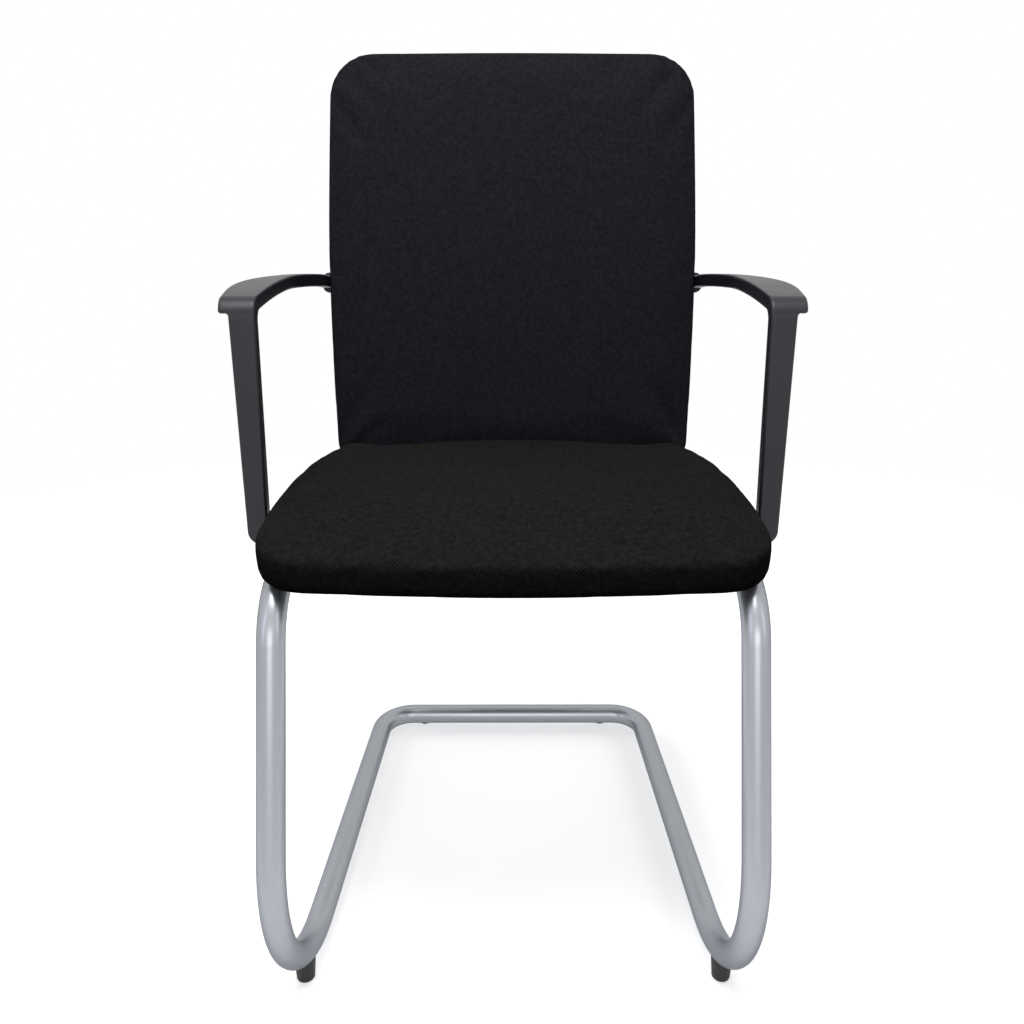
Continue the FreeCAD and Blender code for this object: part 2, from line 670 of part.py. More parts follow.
def back_shell():
    """Tray-shaped cover behind the back, with bosses for the arms and a slot for the upright."""
    front = BACK_BOARD_REAR + SOFT_GAP
    prism = back_prism(SHELL_INSET)
    tray = across(back_layer(front, SHELL_OUTER), BACK_WIDTH).common(prism)
    tray = tray.makeFillet(SHELL_EDGE, rim(tray, prism, BACKWARD, lambda p: p.y > back_point(p.z, SHELL_INNER).y))
    hollow = across(back_layer(0, SHELL_INNER), BACK_WIDTH)
    tray = tray.cut(hollow.common(back_prism(SHELL_INSET + SHELL_THICKNESS)))
    along = back_normal(ARM_PLATE_CENTRE)
    height = SHELL_INNER - BACK_BOARD_REAR - FACE_GAP
    bosses = [drill(p, along, BOSS_DIAMETER, height + SHELL_THICKNESS / 2)
              for p in arm_end_places(BACK_BOARD_REAR + FACE_GAP)]
    holes = [drill(p, along, BOLT_HOLE, 2 * SHELL_OUTER) for p in arm_end_places(0)]
    slot = across(upright_profile(UPRIGHT_SLOT_GAP), UPRIGHT_WIDTH + 2 * UPRIGHT_SLOT_GAP)
    slot = slot.transformed(BACK_FRAME.inverse().toMatrix())
    return tray.multiFuse(bosses).cut(holes + [slot])


# Upright

def meeting(point, along, other, beside):
    """Where two lines of the side view cross."""
    spread = along.y * beside.z - along.z * beside.y
    gap = other - point
    return point + along * ((gap.y * beside.z - gap.z * beside.y) / spread)


def upright_lines():
    """Seat-side top face and back-side front face of the upright: a point and a direction each."""
    seat_point = SEAT_FRAME.multVec(Vec(0, UPRIGHT_FRONT_END, STRIP_BOTTOM - FACE_GAP))
    seat_along = SEAT_FRAME.Rotation.multVec(BACKWARD)
    below = UPRIGHT_MIDDLE + BACK_TUCK
    bow = below ** 2 / (2 * (BACK_CURVE_RADIUS - BACK_BOARD_REAR))
    back_along = BACK_FRAME.Rotation.multVec(back_normal(UPRIGHT_MIDDLE).cross(ACROSS) * -1)
    back_place = BACK_FRAME.multVec(back_point(UPRIGHT_MIDDLE, BACK_BOARD_REAR + bow + SOFT_GAP))
    return seat_point, seat_along, back_place, back_along


def upright_profile(grow):
    """Side view of the upright, grown on all its faces."""
    seat_point, seat_along, back_place, back_along = upright_lines()
    down = ACROSS.cross(seat_along) * -1
    rearward = back_along.cross(ACROSS)
    top = back_place + back_along * (UPRIGHT_TOP - UPRIGHT_MIDDLE + grow)
    start = seat_point - seat_along * grow
    inner = meeting(start - down * grow, seat_along, top - rearward * grow, back_along)
    far = UPRIGHT_THICKNESS + grow
    outer = meeting(start + down * far, seat_along, top + rearward * far, back_along)
    inner_radius = UPRIGHT_BEND_RADIUS - grow
    return bent_face([
        (start - down * grow, 0.0),
        (inner, inner_radius),
        (top - rearward * grow, 0.0),
        (top + rearward * far, 0.0),
        (outer, inner_radius + UPRIGHT_THICKNESS + 2 * grow),
        (start + down * far, 0.0),
    ])


def back_upright():
    """Bent flat bar bolted under the seat and behind the back."""
    bar = across(upright_profile(0), UPRIGHT_WIDTH)
    up = SEAT_FRAME.Rotation.multVec(UP)
    holes = []
    for place in bolt_places(UPRIGHT_BOLT_SPACING, STRIP_BOTTOM):
        holes.append(drill(SEAT_FRAME.multVec(place) - up * STRIP_BOTTOM, up, BOLT_HOLE, 2 * STRIP_BOTTOM))
    forward = back_bolt_direction()
    holes += [sunk_hole(p, forward, BACK_FOAM) for p in back_bolt_heads()]
    return bar.cut(holes)


def back_bolt_direction():
    """Direction of the upright's bolts, forward into the back."""
    return BACK_FRAME.Rotation.multVec(back_normal(UPRIGHT_MIDDLE)) * -1


def back_bolt_heads():
    """Places of those bolts' heads on the rear face of the upright."""
    _, _, back_place, _ = upright_lines()
    rearward = back_bolt_direction() * -1
    heads = []
    for place in back_bolt_places(0):
        start = BACK_FRAME.multVec(place)
        heads.append(start + rearward * ((back_place - start).dot(rearward) + UPRIGHT_THICKNESS))
    return heads


def back_bolts():
    """Countersunk bolts through the upright into the back board."""
    length = SHELL_CAVITY + BACK_BOARD_THICKNESS - UPRIGHT_THICKNESS / 2
    return [sunk_bolt(p, back_bolt_direction(), length) for p in back_bolt_heads()]


def upright_bolts():
    """Bolts through the upright and the strips into the seat board."""
    low = STRIP_BOTTOM - UPRIGHT_THICKNESS - 2 * FACE_GAP
    return [bolt(p, UP, BOARD_TOP - low) for p in bolt_places(UPRIGHT_BOLT_SPACING, low)]


# Arms

def arm_end():
    """The middle of an arm's end plate, on the face of the shell."""
    return BACK_FRAME.multVec(back_point(ARM_PLATE_CENTRE, SHELL_OUTER + FACE_GAP))


def arm_rear():
    """Where the neck of an arm ends, inside its end plate."""
    return arm_end().y + ARM_NECK_SINK


def arm_arch():
    """Centre and radius of the arched top of an arm."""
    end = arm_end()
    nose = Vec(0, ARM_FRONT + ARM_NOSE_RADIUS, ARM_HEIGHT)
    crest = Vec(0, ARM_FRONT + ARM_CREST_SETBACK, ARM_CREST)
    rear = Vec(0, end.y, end.z + ARM_THICKNESS / 2)
    arch = arc(nose, crest, rear).Curve
    return arch.Center, arch.Radius


def arch_point(setback, depth):
    """A point of the arch seen from the side, at a setback and a depth below its top."""
    centre, radius = arm_arch()
    ahead = setback - centre.y
    return centre + Vec(0, ahead, math.sqrt(radius ** 2 - ahead ** 2)).normalize() * (radius - depth)


def arch_corner(wall, depth, corner):
    """Round corner between a post's face and the arch: its start, middle, end and centre."""
    centre, radius = arm_arch()
    inside = radius - depth - corner
    ahead = wall + corner - centre.y
    hub = centre + Vec(0, ahead, math.sqrt(inside ** 2 - ahead ** 2))
    end = hub + (hub - centre).normalize() * corner
    start = hub - BACKWARD * corner
    middle = hub + (start + end - hub * 2).normalize() * corner
    return start, middle, end, hub


def arm_lip():
    """Front edge of the pad's underside, on the rounded nose."""
    nose = arch_corner(ARM_FRONT, 0, ARM_NOSE_RADIUS)
    rise = ARM_HEIGHT - ARM_LIP_DEPTH - nose[3].z
    return nose[3] + Vec(0, -math.sqrt(ARM_NOSE_RADIUS ** 2 - rise ** 2), rise)


def arm_plan(rear):
    """The pad from above: leaf-shaped, drawn in to a neck beside the back."""
    neck = ARM_FRONT + ARM_NECK_SETBACK
    return bent_face([
        (Vec(ARM_INNER, 0, 0), 0.0),
        (Vec(ARM_INNER + ARM_PAD_FRONT_WIDTH, ARM_FRONT - ARM_TIP_SET, 0), ARM_TIP_RADIUS),
        (Vec(ARM_INNER + ARM_PAD_WIDTH, ARM_FRONT + ARM_PAD_WIDEST, 0), ARM_PAD_BOW),
        (Vec(ARM_REAR_INNER + ARM_NECK_WIDTH, neck, 0), ARM_NECK_BOW),
        (Vec(ARM_REAR_INNER + ARM_NECK_WIDTH, rear, 0), 0.0),
        (Vec(ARM_REAR_INNER, rear, 0), 0.0),
        (Vec(ARM_REAR_INNER, neck, 0), ARM_NECK_BOW),
        (Vec(ARM_INNER, ARM_FRONT + ARM_CREST_SETBACK, 0), ARM_NECK_BOW),
    ])


def arm_pad():
    """Arched pad of one thickness, leaf-shaped from above."""
    rear = arm_rear()
    half_way = ARM_FRONT + ARM_CREST_SETBACK
    nose = arch_corner(ARM_FRONT, 0, ARM_NOSE_RADIUS)
    under = arch_corner(ARM_FRONT + ARM_THICKNESS, ARM_THICKNESS, ARM_INNER_RADIUS)[2]
    lip = arm_lip()
    slab = flat_face([
        arc(lip, nose[3] + (lip + nose[2] - nose[3] * 2).normalize() * ARM_NOSE_RADIUS, nose[2]),
        arc(nose[2], arch_point(half_way, 0), arch_point(rear, 0)),
        line(arch_point(rear, 0), arch_point(rear, ARM_THICKNESS)),
        arc(arch_point(rear, ARM_THICKNESS), arch_point(half_way, ARM_THICKNESS), under),
        line(under, lip),
    ])
    plan = arm_plan(rear + ARM_PLATE_THICKNESS)
    return across(slab, 4 * ARM_INNER).common(plan.extrude(UP * 2 * ARM_HEIGHT)).removeSplitter()


def arm_foot_bottom():
    """Height of the underside of an arm's foot."""
    places = arm_bolt_places(1)
    return (places[0].z + places[1].z) / 2 - ARM_FOOT_HEIGHT / 2


def arm_post():
    """Post under the pad's rounded nose, tapering down and turning in to the rail."""
    low = arm_foot_bottom()
    post_rear = ARM_FRONT + ARM_THICKNESS
    nose = arch_corner(ARM_FRONT, 0, ARM_NOSE_RADIUS)
    inner = arch_corner(post_rear, ARM_THICKNESS, ARM_INNER_RADIUS)
    side = flat_face([
        line(Vec(0, ARM_FRONT, low), nose[0]),
        arc(nose[0], nose[1], nose[2]),
        line(nose[2], inner[2]),
        arc(inner[2], inner[1], inner[0]),
        line(inner[0], Vec(0, post_rear, low)),
        line(Vec(0, post_rear, low), Vec(0, ARM_FRONT, low)),
    ])
    front = bent_face([
        (Vec(ARM_INNER, 0, nose[2].z), 0.0),
        (Vec(ARM_INNER + ARM_POST_WIDTH, 0, nose[2].z), 0.0),
        (Vec(ARM_INNER + ARM_POST_FOOT_WIDTH, 0, low), ARM_FOOT_RADIUS),
        (Vec(ARM_RAIL_FACE, 0, low), 0.0),
        (Vec(ARM_RAIL_FACE, 0, low + ARM_FOOT_HEIGHT), 0.0),
        (Vec(ARM_INNER, 0, low + ARM_FOOT_HEIGHT), 0.0),
    ])
    return across(side, 4 * ARM_INNER).common(front.extrude(BACKWARD * 2 * ARM_FRONT)).removeSplitter()


def arm_body():
    """Pad and post in one, with all their outer edges rounded."""
    body = arm_pad().fuse(arm_post()).removeSplitter()
    ends = (ARM_RAIL_FACE + TOUCH, arm_rear() - TOUCH)
    edges = [e for e in sharp_edges(body) if e.CenterOfMass.x > ends[0] and e.CenterOfMass.y < ends[1]]
    return body.makeFillet(ARM_EDGE, edges)


def arm_saddle():
    """Block at the end of the foot that sits against the rail."""
    middle = ARM_FRONT + ARM_THICKNESS / 2
    corner = Vec(LEG_SPACING / 2, middle - ARM_SADDLE_LENGTH / 2, arm_foot_bottom())
    block = Part.makeBox(TUBE_RADIUS + ARM_SADDLE_THICKNESS, ARM_SADDLE_LENGTH, ARM_FOOT_HEIGHT, corner)
    return block.makeFillet(ARM_SADDLE_CORNER, edges_along(block, UP))


def arm_plate():
    """End plate of an arm behind the shell."""
    front = SHELL_OUTER + FACE_GAP
    half = ARM_PLATE_HEIGHT / 2
    plate = back_layer(front, front + ARM_PLATE_THICKNESS, ARM_PLATE_CENTRE - half, ARM_PLATE_CENTRE + half)
    plate.translate(ACROSS * (ARM_REAR_INNER - ARM_PLATE_REACH))
    plate = plate.extrude(ACROSS * (ARM_PLATE_REACH + ARM_NECK_WIDTH))
    plate = plate.makeFillet(ARM_PLATE_CORNER, edges_along(plate, back_normal(ARM_PLATE_CENTRE)))
    return plate.transformed(BACK_FRAME.toMatrix())


def arm_right(clear_tube):
    """Moulded arm: post, pad with an outer lip, foot against the rail, plate behind the back."""
    arm = arm_body().multiFuse([arm_saddle(), arm_plate()])
    holes = [clear_tube]
    for place in arm_bolt_places(1):
        holes.append(drill(place, ACROSS, INSERT_DIAMETER + 2 * HOLE_CLEARANCE, arm_insert_depth() + INSERT_LENGTH))
    along = BACK_FRAME.Rotation.multVec(back_normal(ARM_PLATE_CENTRE))
    for place in arm_end_places(SHELL_INNER):
        holes.append(drill(BACK_FRAME.multVec(place), along, BOLT_HOLE, SHELL_OUTER))
    return arm.cut(holes)


def arm_insert_depth():
    """Distance from the rail's centre line to the near end of a threaded insert."""
    return TUBE_RADIUS + FACE_GAP


def arm_inserts():
    """Threaded inserts in the arms' feet."""
    inserts = []
    for side in SIDES.values():
        for place in arm_bolt_places(side):
            along = ACROSS * side
            start = place + along * (arm_insert_depth() + FACE_GAP)
            sleeve = drill(start, along, INSERT_DIAMETER, INSERT_LENGTH - 2 * FACE_GAP)
            inserts.append(sleeve.cut(drill(start, along, NUT_BORE, INSERT_LENGTH)))
    return inserts


def arm_foot_bolts():
    """Bolts from the inner side of a rail into the arm's inserts."""
    bolts = []
    for side in SIDES.values():
        for place in arm_bolt_places(side):
            along = ACROSS * side
            head = place - along * (TUBE_RADIUS + FACE_GAP)
            bolts.append(bolt(head, along, TUBE_DIAMETER + INSERT_LENGTH - 2 * FACE_GAP))
    return bolts


def arm_end_bolts():
    """Bolts through the arms' plates and the shell into the back board."""
    depth = SHELL_OUTER + ARM_PLATE_THICKNESS + 2 * FACE_GAP
    forward = back_normal(ARM_PLATE_CENTRE) * -1
    return [bolt(p, forward, depth - BACK_BOARD_FRONT - NUT_SINK) for p in arm_end_places(depth)]


# Assembly

def placed(shapes, frame):
    """Shapes built in a local frame, moved to their place on the chair."""
    group = shapes if isinstance(shapes, list) else [shapes]
    moved = [shape.transformed(frame.toMatrix()) for shape in group]
    return moved[0] if len(moved) == 1 else Part.makeCompound(moved)


def chair():
    """All nodes by name, before centring."""
    path = bent_edges(tube_corners())
    clear_tube = rod(path, TUBE_RADIUS + FACE_GAP)
    right_arm = arm_right(clear_tube)
    nodes = {
        "frame_tube": frame_tube(path),
        "front_cross_strip": placed(cross_strip(FRONT_STRIP), SEAT_FRAME),
        "rear_cross_strip": placed(cross_strip(REAR_STRIP), SEAT_FRAME),
        "seat_pan": placed(seat_pan(), SEAT_FRAME),
        "seat_board": placed(seat_board(), SEAT_FRAME),
        "seat_cushion": placed(seat_cushion(), SEAT_FRAME),
        "seat_bolts": placed(seat_bolts(), SEAT_FRAME),
        "seat_tee_nuts": placed(seat_nuts(SEAT_BOLT_SPACING), SEAT_FRAME),
        "back_upright": back_upright(),
        "upright_bolts": placed(upright_bolts(), SEAT_FRAME),
        "upright_tee_nuts": placed(seat_nuts(UPRIGHT_BOLT_SPACING), SEAT_FRAME),
        "back_cushion": placed(back_cushion(), BACK_FRAME),
        "back_board": placed(back_board(), BACK_FRAME),
        "back_shell": placed(back_shell(), BACK_FRAME),
        "back_bolts": Part.makeCompound(back_bolts()),
        "back_tee_nuts": placed(back_nuts(), BACK_FRAME),
        "arm_right": right_arm,
        "arm_left": mirrored(right_arm),
        "arm_foot_bolts": Part.makeCompound(arm_foot_bolts()),
        "arm_foot_inserts": Part.makeCompound(arm_inserts()),
        "arm_end_bolts": placed(arm_end_bolts(), BACK_FRAME),
        "arm_end_tee_nuts": placed(arm_end_nuts(), BACK_FRAME),
    }
    for name, side in SIDES.items():
        nodes["front_glide_" + name] = front_glide(side, clear_tube)
        nodes["rear_glide_" + name] = rear_glide(side, clear_tube)
        nodes["rail_plug_" + name] = placed(rail_plug(side), SEAT_FRAME)
    return nodes


def main():
    """Centre the chair over the floor and write one file for each node."""
    nodes = chair()
    box = Part.makeCompound(list(nodes.values())).optimalBoundingBox()
    home = Vec(0, -(box.YMin + box.YMax) / 2, 0)
    os.makedirs("parts", exist_ok=True)
    for name, shape in nodes.items():
        shape.translate(home)
        shape.exportStep(os.path.join("parts", name + ".step"))
        print(name, len(shape.Solids), shape.isValid(), round(shape.Volume / 1000, 2), "cm3")
    print("overall", round(box.XLength, 2), round(box.YLength, 2), round(box.ZLength, 2), "shift", round(home.y, 3))


main()
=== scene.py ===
"""Looks of a cantilever armchair: filled cushions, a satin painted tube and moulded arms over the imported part."""
import json
import logging
import math
from dataclasses import dataclass, field
from enum import Enum

import bmesh
import bpy
import numpy as np
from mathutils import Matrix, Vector
from mathutils.bvhtree import BVHTree


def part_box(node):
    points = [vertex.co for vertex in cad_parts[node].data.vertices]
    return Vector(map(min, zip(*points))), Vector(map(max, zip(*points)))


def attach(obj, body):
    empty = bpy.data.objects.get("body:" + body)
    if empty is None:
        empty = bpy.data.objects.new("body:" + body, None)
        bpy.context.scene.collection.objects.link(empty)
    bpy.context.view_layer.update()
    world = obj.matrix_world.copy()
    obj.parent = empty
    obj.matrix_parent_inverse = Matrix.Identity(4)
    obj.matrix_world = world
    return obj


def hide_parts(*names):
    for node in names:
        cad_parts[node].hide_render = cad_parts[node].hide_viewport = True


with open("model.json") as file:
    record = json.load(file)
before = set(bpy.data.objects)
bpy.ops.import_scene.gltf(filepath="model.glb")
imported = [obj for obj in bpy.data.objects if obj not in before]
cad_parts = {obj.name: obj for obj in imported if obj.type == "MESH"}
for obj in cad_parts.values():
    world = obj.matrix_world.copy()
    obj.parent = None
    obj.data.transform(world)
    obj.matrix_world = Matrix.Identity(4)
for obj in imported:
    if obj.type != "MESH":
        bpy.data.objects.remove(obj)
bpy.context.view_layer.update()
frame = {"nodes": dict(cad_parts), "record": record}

LOG = logging.getLogger("cantilever_chair")
Socket = bpy.types.NodeSocket
Piece = bpy.types.Object


class Slot(Enum):
    """Material slots of the record."""

    SILVER_PAINT = "silver_paint"
    BLACK_PAINT = "black_paint"
    BLACK_GLIDE = "black_glide"
    BLACK_SHELL = "black_shell"
    PLYWOOD = "plywood"
    BLACK_FABRIC = "black_fabric"
    ARM_PLASTIC = "arm_plastic"
    ZINC_STEEL = "zinc_steel"
    BRASS = "brass"


class LampUse(Enum):
    """What a lamp gives a surface: its shading, its gloss, or both."""

    BOTH = (True, True)
    SHADING = (True, False)
    GLOSS = (False, True)


def linear(code: str) -> tuple[float, float, float, float]:
    """Turn an sRGB hex colour into linear light.

    Args:
        code: Colour as #rrggbb.

    Returns:
        Red, green, blue and an alpha of 1.
    """
    parts = [int(code[i:i + 2], 16) / 255 for i in (1, 3, 5)]
    return (*(c / 12.92 if c <= 0.04045 else ((c + 0.055) / 1.055) ** 2.4 for c in parts), 1.0)


def add_node(tree: bpy.types.NodeTree, kind: str, inputs: dict | None = None, **settings: object) -> bpy.types.Node:
    """Add a shader node with its settings, values and links.

    Args:
        tree: Node tree that takes the node.
        kind: Node type without its ShaderNode prefix.
        inputs: Input name or number to a value, or to a socket that is linked to it.
        settings: Properties of the node itself.

    Returns:
        The new node.
    """
    node = tree.nodes.new("ShaderNode" + kind)
    for name, value in settings.items():
        setattr(node, name, value)
    for key, value in (inputs or {}).items():
        if isinstance(value, Socket):
            tree.links.new(value, node.inputs[key])
        else:
            node.inputs[key].default_value = value
    return node


def per_metre(millimetres: float) -> float:
    """How many steps of a size in millimetres fit in a metre."""
    return 1000.0 / millimetres


@dataclass(frozen=True)
class Finish:
    """A real material: even values sit on the shader's own sockets, and draw links what varies.

    Attributes:
        name: The material's name.
        colour: Its main colour, sRGB.
        shade: The second colour that its pattern drifts to, sRGB.
        roughness: Roughness of the shader.
        metallic: Share of the shader that is metal.
        specular: Specular level of the shader.
        sheen: Weight of the soft sheen at grazing angles.
        edge: Tint of the gloss, which a metal shows at grazing angles, sRGB.
        grain_mm: Size of the finest relief.
        relief_mm: Height of that relief.
    """

    name: str
    colour: str
    shade: str
    roughness: float
    metallic: float = 0.0
    specular: float = 0.5
    sheen: float = 0.0
    edge: str = "#ffffff"
    grain_mm: float = 1.0
    relief_mm: float = 0.05

    def material(self) -> bpy.types.Material:
        """Make the material.

        Returns:
            The material with its nodes linked.
        """
        made = bpy.data.materials.new(self.name)
        made.use_nodes = True
        tree = made.node_tree
        tree.nodes.clear()
        shader = add_node(tree, "BsdfPrincipled", {
            "Roughness": self.roughness,
            "Metallic": self.metallic,
            "Specular IOR Level": self.specular,
            "Sheen Weight": self.sheen,
            "Specular Tint": linear(self.edge),
        })
        place = add_node(tree, "TexCoord").outputs["Object"]
        for name, source in self.draw(tree, place).items():
            tree.links.new(source, shader.inputs[name])
        add_node(tree, "OutputMaterial", {"Surface": shader.outputs["BSDF"]})
        return made

    def draw(self, tree: bpy.types.NodeTree, place: Socket) -> dict[str, Socket]:
        """Draw the pattern of colour and relief.

        Args:
            tree: The material's nodes.
            place: Places on the object, in metres.

        Returns:
            Shader input to the socket that feeds it.
        """
        raise NotImplementedError

    def two_tone(self, tree: bpy.types.NodeTree, share: Socket) -> Socket:
        """Mix the two colours.

        Args:
            tree: The material's nodes.
            share: Share of the second colour, from 0 to 1.

        Returns:
            The mixed colour.
        """
        return add_node(tree, "Mix", {0: share, 6: linear(self.colour), 7: linear(self.shade)},
                        data_type="RGBA").outputs[2]

    def uneven_gloss(self, tree: bpy.types.NodeTree, share: Socket, spread: float) -> Socket:
        """Let the roughness drift.

        Args:
            tree: The material's nodes.
            share: Where the drift stands, from 0 to 1.
            spread: How far the roughness goes to each side.

        Returns:
            The roughness.
        """
        return add_node(tree, "MapRange", {"Value": share, "To Min": self.roughness - spread,
                                           "To Max": self.roughness + spread}).outputs["Result"]

    def relief(self, tree: bpy.types.NodeTree, height: Socket, strength: float = 1.0) -> Socket:
        """Raise the surface by a pattern.

        Args:
            tree: The material's nodes.
            height: The pattern's height, where a step of 1 is the relief's full height.
            strength: Share of the relief that is used.

        Returns:
            The normal of the raised surface.
        """
        return add_node(tree, "Bump", {"Height": height, "Strength": strength,
                                       "Distance": self.relief_mm / 1000}).outputs["Normal"]


@dataclass(frozen=True)
class SatinPaint(Finish):
    """Sprayed paint: fine flakes or pigment drift in the colour, and a low orange peel in the relief.

    Attributes:
        flake_mm: Size of the drift in colour.
        sweep_mm: Size of the drift in gloss, as the spray gun leaves it.
        gloss_spread: How far the roughness drifts to each side.
    """

    flake_mm: float = 1.2
    sweep_mm: float = 48.0
    gloss_spread: float = 0.04

    def draw(self, tree: bpy.types.NodeTree, place: Socket) -> dict[str, Socket]:
        """Draw flakes, gloss drift and orange peel.

        Args:
            tree: The material's nodes.
            place: Places on the object, in metres.

        Returns:
            Shader input to the socket that feeds it.
        """
        flakes = add_node(tree, "TexNoise", {"Vector": place, "Scale": per_metre(self.flake_mm), "Detail": 3.0})
        sweep = add_node(tree, "TexNoise", {"Vector": place, "Scale": per_metre(self.sweep_mm), "Detail": 1.0})
        peel = add_node(tree, "TexNoise", {"Vector": place, "Scale": per_metre(self.grain_mm), "Detail": 1.0})
        return {"Base Color": self.two_tone(tree, flakes.outputs["Fac"]),
                "Roughness": self.uneven_gloss(tree, sweep.outputs["Fac"], self.gloss_spread),
                "Normal": self.relief(tree, peel.outputs["Fac"])}


@dataclass(frozen=True)
class MouldedPlastic(Finish):
    """Moulded plastic: a spark-eroded grain in the relief, and a slow drift in colour and gloss.

    Attributes:
        drift_mm: Size of the drift in colour and gloss.
        gloss_spread: How far the roughness drifts to each side.
    """

    drift_mm: float = 35.0
    gloss_spread: float = 0.05

    def draw(self, tree: bpy.types.NodeTree, place: Socket) -> dict[str, Socket]:
        """Draw grain and drift.

        Args:
            tree: The material's nodes.
            place: Places on the object, in metres.

        Returns:
            Shader input to the socket that feeds it.
        """
        grain = add_node(tree, "TexVoronoi", {"Vector": place, "Scale": per_metre(self.grain_mm)}, feature="SMOOTH_F1")
        drift = add_node(tree, "TexNoise", {"Vector": place, "Scale": per_metre(self.drift_mm), "Detail": 4.0})
        return {"Base Color": self.two_tone(tree, drift.outputs["Fac"]),
                "Roughness": self.uneven_gloss(tree, drift.outputs["Fac"], self.gloss_spread),
                "Normal": self.relief(tree, grain.outputs["Distance"])}


@dataclass(frozen=True)
class WovenFabric(Finish):
    """Plain weave: threads cross over and under on every side, with a melange of lighter and darker yarn.

    Attributes:
        thread_mm: Width of a thread as drawn.
        slub_mm: Length of the lighter and darker stretches of yarn.
        wander: How far the threads stray, in threads.
        wander_over: Over how many threads they stray.
        painted_light_on_crossings: How much lighter a thread is painted where it lies on top, as painted light on the
            raised threads and painted shade where they dip under.
        tone_range: Where the melange, with that painted light, is darkest and lightest.
        thread_relief: Share of the relief that the threads use.
    """

    thread_mm: float = 1.7
    slub_mm: float = 5.0
    wander: float = 0.35
    wander_over: float = 4.0
    painted_light_on_crossings: float = 0.22
    tone_range: tuple[float, float] = (0.2, 0.8)
    thread_relief: float = 0.6

    def weave(self, tree: bpy.types.NodeTree, place: Socket) -> Socket:
        """Draw the weave on whichever pair of axes the surface faces.

        Args:
            tree: The material's nodes.
            place: Places on the object, in metres.

        Returns:
            Height from -1, under, to 1, over.
        """
        stray = add_node(tree, "TexNoise", {"Vector": place, "Scale": per_metre(self.wander_over * self.thread_mm),
                                            "Detail": 2.0})
        moved = add_node(tree, "VectorMath", {0: stray.outputs["Color"], 1: (self.wander * self.thread_mm / 1000,) * 3,
                                              2: place}, operation="MULTIPLY_ADD")
        turns = add_node(tree, "VectorMath", {0: moved.outputs[0], "Scale": math.pi * per_metre(self.thread_mm)},
                         operation="SCALE")
        waves = add_node(tree, "VectorMath", {0: turns.outputs[0]}, operation="SINE")
        x, y, z = add_node(tree, "SeparateXYZ", {0: waves.outputs[0]}).outputs
        first = add_node(tree, "CombineXYZ", {0: y, 1: x, 2: x})
        second = add_node(tree, "CombineXYZ", {0: z, 1: z, 2: y})
        crossings = add_node(tree, "VectorMath", {0: first.outputs[0], 1: second.outputs[0]}, operation="MULTIPLY")
        facing = add_node(tree, "NewGeometry").outputs["Normal"]
        share = add_node(tree, "VectorMath", {0: facing, 1: facing}, operation="MULTIPLY")
        return add_node(tree, "VectorMath", {0: crossings.outputs[0], 1: share.outputs[0]},
                        operation="DOT_PRODUCT").outputs["Value"]

    def draw(self, tree: bpy.types.NodeTree, place: Socket) -> dict[str, Socket]:
        """Draw weave and melange, with painted light on the threads that lie on top.

        Args:
            tree: The material's nodes.
            place: Places on the object, in metres.

        Returns:
            Shader input to the socket that feeds it.
        """
        height = self.weave(tree, place)
        slub = add_node(tree, "TexNoise", {"Vector": place, "Scale": per_metre(self.slub_mm), "Detail": 5.0,
                                           "Roughness": 0.7})
        # The tone is the melange plus painted light: threads on top are painted lighter, and threads dipping under are
        # painted darker as shade.
        lift = add_node(tree, "Math", {0: height, 1: self.painted_light_on_crossings, 2: slub.outputs["Fac"]},
                        operation="MULTIPLY_ADD")
        darkest, lightest = self.tone_range
        tone = add_node(tree, "MapRange", {"Value": lift.outputs[0], "From Min": darkest, "From Max": lightest})
        return {"Base Color": self.two_tone(tree, tone.outputs["Result"]),
                "Normal": self.relief(tree, height, self.thread_relief)}


@dataclass(frozen=True)
class BeechPlywood(Finish):
    """Peeled beech veneer: long pale and dark streaks across the board, with short brown flecks.

    Attributes:
        streak_mm: Width of a streak.
        stretch: How many times longer than wide the streaks and flecks are.
        fleck_range: Where a fleck begins and where it is full.
        fleck_share: How dark a full fleck is.
    """

    streak_mm: float = 5.0
    stretch: float = 14.0
    fleck_range: tuple[float, float] = (0.6, 0.75)
    fleck_share: float = 0.6

    def draw(self, tree: bpy.types.NodeTree, place: Socket) -> dict[str, Socket]:
        """Draw streaks and flecks along X.

        Args:
            tree: The material's nodes.
            place: Places on the object, in metres.

        Returns:
            Shader input to the socket that feeds it.
        """
        along = add_node(tree, "Mapping", {"Vector": place, "Scale": (1 / self.stretch, 1.0, 1.0)}).outputs[0]
        streaks = add_node(tree, "TexNoise", {"Vector": along, "Scale": per_metre(self.streak_mm), "Detail": 4.0})
        flecks = add_node(tree, "TexNoise", {"Vector": along, "Scale": per_metre(self.grain_mm), "Detail": 1.0})
        begin, full = self.fleck_range
        darker = add_node(tree, "MapRange", {"Value": flecks.outputs["Fac"], "From Min": begin, "From Max": full,
                                             "To Max": self.fleck_share})
        share = add_node(tree, "Math", {0: streaks.outputs["Fac"], 1: darker.outputs["Result"]}, operation="ADD",
                         use_clamp=True)
        return {"Base Color": self.two_tone(tree, share.outputs[0]),
                "Normal": self.relief(tree, flecks.outputs["Fac"])}


